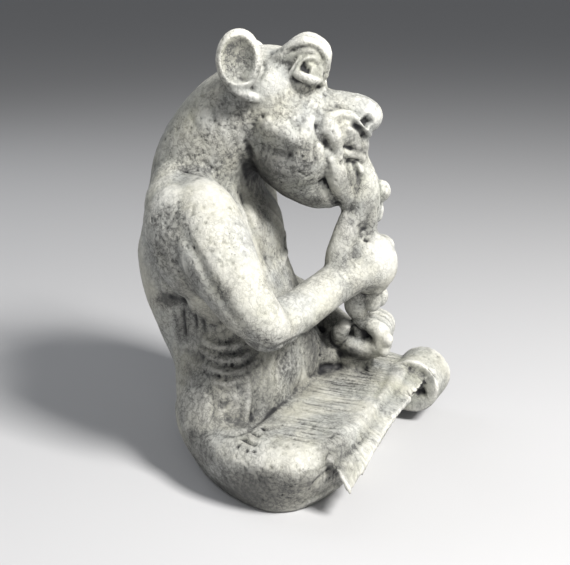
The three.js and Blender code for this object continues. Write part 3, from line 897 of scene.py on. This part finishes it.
# %% [markdown]
# ### Lap, hide and scroll
#
# The lap is combed with long strokes from the belly to the front. A loop draws them, uneven
# in length, lean and depth, and deeper towards the far hand. The rest is drawn one by one: the gashes
# by the fold, the torn edge of the hide, and the turns that show in the end of the scroll.

# %% Lap strokes
rng = np.random.default_rng(7)
LAP_STROKES = 46
LAP_LEFT_END, LAP_RUN = 92, 178
COMB_FRONT, COMB_FRONT_SPREAD, COMB_FRONT_DRIFT = -60, 16, 6
COMB_LENGTHS, COMB_LEAN = (14, 40), 2.5
COMB_WIDTHS, COMB_DEPTHS = (0.9, 1.3), (0.7, 1.5)
COMB_DEEPEST, COMB_SHALLOWER, COMB_TAPER = 1.4, 0.7, 0.4
for i in range(LAP_STROKES):
    share = (i + rng.uniform(0, 0.8)) / LAP_STROKES
    x = LAP_LEFT_END - LAP_RUN * share
    front = COMB_FRONT + rng.uniform(0, COMB_FRONT_SPREAD) + COMB_FRONT_DRIFT * share
    back = front + rng.uniform(*COMB_LENGTHS)
    lean = rng.uniform(-COMB_LEAN, COMB_LEAN)
    flat = grid([(x + lean * (t - 0.5), front + (back - front) * t, BASE_HEIGHT) for t in (0, 0.5, 1)])
    line = np.array([skin.snap(spot) for spot in flat])
    width, depth = rng.uniform(*COMB_WIDTHS), rng.uniform(*COMB_DEPTHS)
    skin.stroke(line, width, depth * (COMB_DEEPEST - COMB_SHALLOWER * share), taper=COMB_TAPER)
skin.set()
print("combed", LAP_STROKES, "strokes")

# %% Base strokes
HAIR_STROKES = 13
BASE_STROKES = [(1.3, 1.1, (302 + 3.2 * i, 474 - 1.6 * i), (300 + 3.2 * i, 484 - 1.2 * i),
                 (297 + 3.2 * i, 496 - 1.0 * i)) for i in range(HAIR_STROKES)]
BASE_STROKES += [
    (1.5, 2.2, (240, 437), (249, 442), (258, 446)),
    (1.5, 2.0, (250, 431), (260, 437)),
    (1.7, 2.2, (262, 426), (266, 431)),
    (1.6, 2.0, (236, 446), (240, 447)),
    (1.3, 1.5, (245, 450), (248, 452)),
    (1.3, 1.5, (253, 453), (255, 450)),
    (2.4, 0.8, (396, 352), (388, 372), (378, 392), (372, 405)),
    (2.4, 1.8, (380, 416), (366, 436), (350, 452), (334, 468), (318, 482), (300, 500)),
    (2.2, -2.0, (352, 490), (341, 486), (331, 488), (318, 496), (303, 506)),
    (1.4, 1.4, (428, 367), (433, 372), (438, 378)),
    (8.0, 2.0, (424, 380)),
    (3.6, 3.0, (408, 394), (417, 393), (427, 391)),
]
carve(skin, BASE_STROKES, both=False)

# %% [markdown]
# ### Grain and pits
#
# Cast stone is never smooth: it has low swells, a fine grain, and pits where air was caught. Grain
# is a noise built on a hashed lattice, so it is the same on each run.

# %% Grain
SEED_STEP = 17.31
HASH_X, HASH_Y, HASH_Z, HASH_MIX = 73856093, 19349663, 83492791, 1274126177
HASH_BITS = 0xFFFF


def grain(spots, size, seed):
    """Smooth noise between -1 and 1 with features about `size` mm across."""
    p = spots / (np.array(size) * MM) + seed * SEED_STEP
    cell = np.floor(p).astype(np.int64)
    f = p - cell
    f = f * f * (3 - 2 * f)
    total = np.zeros(len(spots))
    for dx in (0, 1):
        for dy in (0, 1):
            for dz in (0, 1):
                corner = cell + (dx, dy, dz)
                h = corner[:, 0] * HASH_X ^ corner[:, 1] * HASH_Y ^ corner[:, 2] * HASH_Z
                h = (h ^ (h >> 13)) * HASH_MIX
                h = ((h ^ (h >> 16)) & HASH_BITS) / (HASH_BITS / 2) - 1
                weight = np.where(dx, f[:, 0], 1 - f[:, 0]) * np.where(dy, f[:, 1], 1 - f[:, 1])
                total += h * weight * np.where(dz, f[:, 2], 1 - f[:, 2])
    return total


spots = skin.spots
height = spots[:, 2] / MM
depth_y = spots[:, 1] / MM - GRID_SHIFT
# Each grain: its height and its size in mm, and a seed.
rough = 0.55 + 0.45 * grain(spots, 40, 3)
swell = 0.5 * grain(spots, 17, 1) + 0.3 * grain(spots, 7, 2) * rough + 0.16 * grain(spots, 3, 5)
HIDE_LINE, HIDE_FADE, HIDE_TOP, HIDE_END, FLOOR_FADE = -56, 8, 40, 70, 2
hide_area = np.clip((HIDE_LINE - depth_y) / HIDE_FADE, 0, 1) * (height < HIDE_TOP)
hide_area = hide_area * (spots[:, 0] / MM < HIDE_END)
hair = 0.34 * grain(spots, (2.0, 11, 9), 6) + 0.2 * grain(spots, (1.5, 8, 7), 8)
swell += hair * hide_area
swell *= np.clip(height / FLOOR_FADE, 0, 1)
skin.spots = spots + skin.normals * (swell * MM)[:, None]
skin.set()
print("grain, mm:", round(float(np.abs(swell).mean()), 3), "on average")

# %% Pits
PIT_RADII, PIT_DEPTHS = (0.7, 1.15), (0.5, 0.8)
LONE_PITS, LOWEST_PIT = 350, 3
PIT_AREAS = [
    # pixel, reach in mm, number of pits
    ((284, 112), 16, 60), ((250, 110), 18, 50), ((300, 170), 20, 70), ((205, 165), 20, 40),
    ((180, 225), 24, 60), ((288, 370), 15, 90), ((225, 260), 20, 30), ((270, 490), 30, 60),
    ((230, 370), 22, 60), ((200, 130), 24, 40), ((310, 440), 26, 40), ((160, 240), 25, 40),
]


def pit(centre):
    radius = rng.uniform(*PIT_RADII)
    skin.stroke(centre[None, :], radius, rng.uniform(*PIT_DEPTHS) * radius)


pits = 0
for pixel, reach, count in PIT_AREAS:
    middle = skin.seen(*pixel)
    for centre in (middle, middle * (-1, 1, 1)):
        for _ in range(count):
            pit(skin.snap(centre + rng.normal(0, reach / 2, 3) * MM))
            pits += 1
for i in rng.integers(0, len(skin.spots), LONE_PITS):
    if skin.spots[i, 2] > LOWEST_PIT * MM:
        pit(skin.spots[i].copy())
        pits += 1
skin.spots[:, 2] = np.maximum(skin.spots[:, 2], LOW.z)
skin.set()
print("pits", pits)

# %% [markdown]
# ### One closed shell
#
# The voxel fuse can leave a small bubble shut up inside the clay. From the top of the statue we select
# all that is linked, and delete the rest, so that one closed shell is left. Then we thin the mesh,
# because plain places need fewer faces than the carving.

# %% One shell
only(gargoyle)
bpy.ops.object.mode_set(mode="EDIT")
bpy.ops.mesh.select_mode(type="VERT")
bpy.ops.mesh.select_all(action="DESELECT")
bpy.ops.object.mode_set(mode="OBJECT")
max(gargoyle.data.vertices, key=lambda vertex: vertex.co.z).select = True
bpy.ops.object.mode_set(mode="EDIT")
bpy.ops.mesh.select_linked()
bpy.ops.mesh.select_all(action="INVERT")
loose = gargoyle.data.total_vert_sel
bpy.ops.mesh.delete(type="VERT")
bpy.ops.object.mode_set(mode="OBJECT")
print("points deleted with the bubbles", loose)

# %% Thin the mesh
FACES_KEPT = 185000
triangles = sum(len(face.vertices) - 2 for face in gargoyle.data.polygons)
apply_modifier(gargoyle, "TRIANGULATE")
apply_modifier(gargoyle, "DECIMATE", ratio=min(1, FACES_KEPT / triangles))
only(gargoyle)
bpy.ops.object.shade_smooth()
print("triangles", triangles, "thinned to", len(gargoyle.data.polygons))

# %% [markdown]
# ## Where the wash and the painted shade go
#
# The wash is brushed on and wiped off, so it stays where a cloth can't reach. We measure that twice.
# How far a point lies below its smoothed neighbourhood tells grooves and pits, and broad hollows that
# also get painted shade. How much of the sky it can't see tells the sheltered places under the arm,
# the jaw and the base, which get wash and painted shade. A few soft patches say where the brush or the
# cloth went over more often, and lay painted shade under the cheek and the far hand and painted
# highlight on the lit tops.

# %% Recess
SMOOTH_KEPT, SMOOTH_MOVED = 0.4, 0.6
FINE_PASSES, BROAD_PASSES = 5, 40


def neighbour_mean(values, edges, counts):
    total = np.empty_like(values)
    for axis in range(values.shape[1]):
        total[:, axis] = (np.bincount(edges[:, 0], values[edges[:, 1], axis], len(values))
                          + np.bincount(edges[:, 1], values[edges[:, 0], axis], len(values)))
    return total / counts[:, None]


def recess(spots, normals, edges, passes):
    counts = np.maximum(np.bincount(edges.ravel(), minlength=len(spots)), 1)
    smooth = spots.copy()
    for _ in range(passes):
        smooth = SMOOTH_KEPT * smooth + SMOOTH_MOVED * neighbour_mean(smooth, edges, counts)
    return ((smooth - spots) * normals).sum(1) / MM


skin = Skin(gargoyle)
edges = np.empty(len(gargoyle.data.edges) * 2, int)
gargoyle.data.edges.foreach_get("vertices", edges)
edges = edges.reshape(-1, 2)
fine_recess = recess(skin.spots, skin.normals, edges, FINE_PASSES)
broad_recess = recess(skin.spots, skin.normals, edges, BROAD_PASSES)
print("deepest recess, mm:", round(float(fine_recess.max()), 2))

# %% Shelter
# The sheltered share feeds the wash and also paints shade under the arm, the jaw and the base.
SHELTER_RAYS, SHELTER_REACH, SHELTER_SMOOTHING = 14, 60, 6
RAY_LIFT, RAY_TILT = 0.4, 0.6
dome = rng.normal(size=(SHELTER_RAYS, 3))
dome /= np.linalg.norm(dome, axis=1)[:, None]
shelter = np.zeros(len(skin.spots))
starts = skin.spots + skin.normals * RAY_LIFT * MM
for ray in dome:
    facing = skin.normals @ ray
    turned = np.where(facing[:, None] < 0, -ray, ray) + RAY_TILT * skin.normals
    turned /= np.linalg.norm(turned, axis=1)[:, None]
    for i, (start, way) in enumerate(zip(starts.tolist(), turned.tolist())):
        if skin.tree.ray_cast(start, way, SHELTER_REACH * MM)[0] is not None:
            shelter[i] += 1 / SHELTER_RAYS
counts = np.maximum(np.bincount(edges.ravel(), minlength=len(shelter)), 1)
for _ in range(SHELTER_SMOOTHING):
    shelter = neighbour_mean(shelter[:, None], edges, counts)[:, 0]
print("shelter mean", round(float(shelter.mean()), 3))

# %% Patches
# Where the wash was left on thickly, and where shade is painted under the cheek, under the far hand, along
# the belly's edge and on the base's wall: a pixel, the patch's half-width and half-height, its strength.
THICK_WASH_AND_SHADE = [
    (278, 166, 34, 16, 0.9), (302, 162, 14, 22, 0.5), (243, 112, 8, 20, 0.5), (236, 130, 10, 16, 0.4),
    (300, 200, 26, 10, 0.5), (194, 172, 16, 8, 0.6), (170, 218, 22, 13, 0.6), (166, 252, 16, 24, 0.5),
    (180, 150, 30, 34, 0.3), (228, 130, 22, 44, 0.4),
    (188, 284, 14, 16, 0.5), (168, 300, 14, 8, 0.9), (184, 325, 10, 22, 0.6), (200, 345, 10, 14, 0.4),
    (243, 56, 9, 18, 0.1), (350, 372, 44, 20, 0.35), (228, 388, 56, 54, 0.75),
    (212, 330, 30, 24, 0.5), (264, 222, 8, 26, 0.45), (287, 365, 16, 24, 0.6), (311, 350, 8, 26, 0.9),
    (300, 388, 22, 9, 0.5), (228, 372, 24, 26, 0.4), (348, 353, 12, 6, 1), (327, 350, 9, 18, 0.9),
    (362, 332, 7, 4, 0.8), (330, 319, 12, 8, 0.8), (350, 222, 14, 18, 0.5), (369, 216, 7, 20, 0.5),
    (357, 146, 11, 13, 0.5), (352, 180, 12, 14, 0.45), (337, 202, 8, 7, 0.5), (305, 49, 16, 4, 0.5),
    (262, 484, 60, 16, 0.9), (240, 500, 62, 26, 1), (335, 456, 18, 24, 0.6),
    (200, 430, 14, 60, 0.7), (190, 455, 14, 30, 0.6), (330, 470, 22, 24, 0.3), (213, 425, 18, 16, 0.4),
    (360, 290, 26, 14, 0.25), (222, 296, 14, 18, 0.35), (345, 260, 14, 12, 0.25), (262, 340, 12, 8, 0.3),
]
# Where it was wiped off or never settled, and where highlight is painted on the lit tops of the shoulder,
# arm, fist, cheek, brow, snout and the lap's rim.
WIPED_AND_HIGHLIT = [
    (243, 56, 13, 22, 0.5), (280, 108, 30, 18, 0.5), (300, 462, 60, 7, 0.6), (380, 395, 12, 60, 0.6),
    (205, 200, 26, 18, 0.5), (240, 255, 18, 34, 0.4), (378, 262, 16, 20, 0.4), (300, 310, 30, 14, 0.3),
    (310, 45, 22, 10, 0.4), (376, 116, 10, 14, 0.4), (342, 188, 8, 16, 0.3),
]


def in_picture(spots):
    """The pixel of each place in the 570 x 565 frame."""
    ways = (spots - np.array(CAMERA_FROM)) @ np.array(LOOK.to_matrix())
    return np.column_stack((IMAGE_WIDTH / 2 - FOCAL_PIXELS * ways[:, 0] / ways[:, 2],
                            IMAGE_HEIGHT / 2 + FOCAL_PIXELS * ways[:, 1] / ways[:, 2]))


HEAD_LEVEL = 0.185
seen_places = skin.spots.copy()
away = ((np.array(CAMERA_FROM) - skin.spots) * skin.normals).sum(1) < 0
for is_head in (True, False):
    hidden = away & ((skin.spots[:, 2] > HEAD_LEVEL) == is_head)
    seen_places[hidden] = mirrored(skin.spots[hidden], is_head)
pixels = in_picture(seen_places)


def patches(rows):
    """The strongest patch at each place, soft at its edge."""
    most = np.zeros(len(pixels))
    for px, py, wide, high, strength in rows:
        gap = ((pixels[:, 0] - px) / wide) ** 2 + ((pixels[:, 1] - py) / high) ** 2
        most = np.maximum(most, strength * np.exp(-gap * gap))
    return most


# These patches add wash and painted shade.
thick_wash_and_shade = patches(THICK_WASH_AND_SHADE)
# These patches take wash off and paint highlight.
wiped_and_highlit = patches(WIPED_AND_HIGHLIT)

# %% Wash, painted shade and painted highlight
OPEN_SKY = 0.25
# Painted shade: faces turned down, broad hollows and sheltered places go darker, on top of the wash in the
# grooves.
downward_shade = np.clip(0.25 - 0.75 * skin.normals[:, 2], 0, 1)
in_grooves = np.clip(fine_recess * 1.5, 0, 1) * 0.6
in_hollows = np.clip(broad_recess * 0.4, 0, 1) * 0.5
in_shelter = np.clip((shelter - OPEN_SKY) * 1.6, 0, 1) * 0.5
wash_and_shade = (in_grooves + in_hollows + in_shelter + downward_shade * 0.4 + thick_wash_and_shade * 0.22) * (1 - wiped_and_highlit)
# Rubbed edges and swells go pale, with painted highlight, only where they don't face down.
on_edges = np.clip(-fine_recess * 2.0, 0, 1) * 0.5
on_swells = np.clip(-broad_recess * 0.35, 0, 1) * 0.6
worn_and_highlit = (on_edges + on_swells) * (1 - downward_shade)
for name, values in (("wash_and_shade", wash_and_shade), ("worn_and_highlit", worn_and_highlit), ("thick_wash_and_shade", thick_wash_and_shade)):
    layer = gargoyle.data.attributes.new(name, "FLOAT", "POINT")
    layer.data.foreach_set("value", np.clip(values, 0, 1).astype(np.float32))
print("wash mean", round(float(np.clip(wash_and_shade, 0, 1).mean()), 3))

# %% [markdown]
# ## Stone
#
# The stone is a pale cream with a cloudy tint. Over it lies the dark wash, full in the recesses, thin
# and patchy on open skin, and rubbed off the high edges. Painted shade darkens the broad hollows, the
# sheltered places and the faces turned down, and painted highlight lightens the high edges that face up
# and the lit tops.

# %% Stone material
# The material carries the wash and also painted shade and painted highlight.
stone = bpy.data.materials.new("washed_stone_with_painted_shade")
stone.use_nodes = True
nodes, links = stone.node_tree.nodes, stone.node_tree.links
shader = nodes["Principled BSDF"]
place = nodes.new("ShaderNodeTexCoord").outputs["Object"]


def attribute(name):
    node = nodes.new("ShaderNodeAttribute")
    node.attribute_name = name
    return node.outputs["Fac"]


def noise_at(scale, detail=4, roughness=0.55):
    node = nodes.new("ShaderNodeTexNoise")
    node.inputs["Scale"].default_value = scale
    node.inputs["Detail"].default_value = detail
    node.inputs["Roughness"].default_value = roughness
    links.new(place, node.inputs["Vector"])
    return node.outputs["Fac"]


def calculate(operation, a, b, clamp=False):
    node = nodes.new("ShaderNodeMath")
    node.operation = operation
    node.use_clamp = clamp
    for socket, value in zip(node.inputs, (a, b)):
        if isinstance(value, (int, float)):
            socket.default_value = value
        else:
            links.new(value, socket)
    return node.outputs[0]


def ramp(value, low, high):
    node = nodes.new("ShaderNodeMapRange")
    node.interpolation_type = "SMOOTHSTEP"
    node.inputs["From Min"].default_value = low
    node.inputs["From Max"].default_value = high
    links.new(value, node.inputs["Value"])
    return node.outputs["Result"]


def mixed(share, a, b):
    node = nodes.new("ShaderNodeMix")
    node.data_type = "RGBA"
    links.new(share, node.inputs["Factor"])
    for socket, value in ((node.inputs[6], a), (node.inputs[7], b)):
        if isinstance(value, tuple):
            socket.default_value = (*value, 1)
        else:
            links.new(value, socket)
    return node.outputs[2]


# %% [markdown]
# ### Bare stone
#
# Cast stone varies softly in tint, and turns mossy here and there. So wide noises mix a few tints of
# cream, high edges go brighter as rubbed stone with painted highlight, and wash laid on thickly stains
# the stone, with painted shade.

# %% Bare stone
CREAM, COOL, MOSS = (0.55, 0.54, 0.46), (0.43, 0.44, 0.42), (0.33, 0.34, 0.23)
STAIN_AND_SHADE = (0.13, 0.128, 0.115)
BRIGHT, HAZE_AND_SHADE, BLACK = (0.82, 0.81, 0.75), (0.1, 0.1, 0.095), (0.015, 0.015, 0.017)

stone_colour = mixed(ramp(noise_at(28), 0.35, 0.65), CREAM, COOL)
moss_share = calculate("MULTIPLY", ramp(noise_at(17, 3), 0.5, 0.72), 0.4)
stone_colour = mixed(moss_share, stone_colour, MOSS)
# Pale edges: rubbed stone with painted highlight on the faces turned up.
stone_colour = mixed(attribute("worn_and_highlit"), stone_colour, BRIGHT)
# Wash laid on thickly and painted shade stain the stone darker.
broad = ramp(noise_at(34, 4), 0.3, 0.7)
stain_and_shade_share = calculate("ADD", calculate("MULTIPLY", broad, 0.5), 0.5)
stain_and_shade_share = calculate("MULTIPLY", stain_and_shade_share, attribute("thick_wash_and_shade"))
stone_colour = mixed(stain_and_shade_share, stone_colour, STAIN_AND_SHADE)

# %% [markdown]
# ### Wash and painted shade
#
# Wiped wash leaves wandering thin lines and soft blots. A line is where a noise crosses its middle
# value. Both are weaker on the high edges, with their painted highlight, and stronger where the wash lies
# thickly and where shade is painted. The haze and the black go where the wash and the painted shade are.

# %% Wash and painted shade colour
wander = calculate("ABSOLUTE", calculate("SUBTRACT", noise_at(230, 5, 0.6), 0.5), 0)
wander = ramp(wander, 0.075, 0.0)
patchy = ramp(noise_at(120, 7, 0.72), 0.44, 0.64)
clouds = ramp(noise_at(26, 3), 0.36, 0.62)
mottle = calculate("ADD", calculate("MULTIPLY", wander, 0.42), calculate("MULTIPLY", patchy, 0.34))
area = calculate("ADD", calculate("MULTIPLY", clouds, 0.6), 0.4)
area = calculate("ADD", area, calculate("MULTIPLY", attribute("thick_wash_and_shade"), 0.9))
mottle = calculate("MULTIPLY", mottle, area)
# The wash mottle thins on the rubbed edges and the painted highlight.
away_from_worn_and_highlit = calculate("SUBTRACT", 1, calculate("MULTIPLY", attribute("worn_and_highlit"), 0.6))
mottle = calculate("MULTIPLY", mottle, away_from_worn_and_highlit)
haze_and_shade_share = calculate("ADD", calculate("MULTIPLY", attribute("wash_and_shade"), 0.95), mottle, clamp=True)
colour = mixed(haze_and_shade_share, stone_colour, HAZE_AND_SHADE)

SPECKLE_SCALE = 460
speckle_cells = nodes.new("ShaderNodeTexVoronoi")
speckle_cells.inputs["Scale"].default_value = SPECKLE_SCALE
links.new(place, speckle_cells.inputs["Vector"])
speckle = ramp(speckle_cells.outputs["Distance"], 0.3, 0.12)
speckle = calculate("MULTIPLY", speckle, ramp(noise_at(70, 3), 0.52, 0.62))
# Black goes where the wash and the painted shade are deepest, and on the speckles.
black_share = calculate("ADD", attribute("wash_and_shade"), calculate("MULTIPLY", noise_at(260, 4), 0.5))
black_share = ramp(black_share, 0.72, 1.3)
black_share = calculate("MAXIMUM", black_share, calculate("MULTIPLY", speckle, 0.5))
colour = mixed(black_share, colour, BLACK)
links.new(colour, shader.inputs["Base Color"])

# %% [markdown]
# ### Surface
#
# The stone is matt, a little smoother in spots. The finest grain is too small for the mesh, so it is
# bump, under a millimetre deep.

# %% Surface
SPECULAR, BUMP_STRENGTH, BUMP_DEPTH = 0.4, 0.55, 0.6 * MM
roughness = calculate("ADD", calculate("MULTIPLY", noise_at(140), 0.2), 0.56)
links.new(roughness, shader.inputs["Roughness"])
shader.inputs["Specular IOR Level"].default_value = SPECULAR

bump = nodes.new("ShaderNodeBump")
bump.inputs["Strength"].default_value = BUMP_STRENGTH
bump.inputs["Distance"].default_value = BUMP_DEPTH
relief = calculate("SUBTRACT", noise_at(520, 5, 0.65), calculate("MULTIPLY", speckle, 0.9))
relief = calculate("SUBTRACT", relief, calculate("MULTIPLY", wander, 0.5))
links.new(relief, bump.inputs["Height"])
links.new(bump.outputs["Normal"], shader.inputs["Normal"])

gargoyle.data.materials.clear()
gargoyle.data.materials.append(stone)
print("stone made of", len(nodes), "nodes")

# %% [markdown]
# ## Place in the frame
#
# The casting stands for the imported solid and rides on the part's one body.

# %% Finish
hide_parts("gargoyle")
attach(gargoyle, "root")
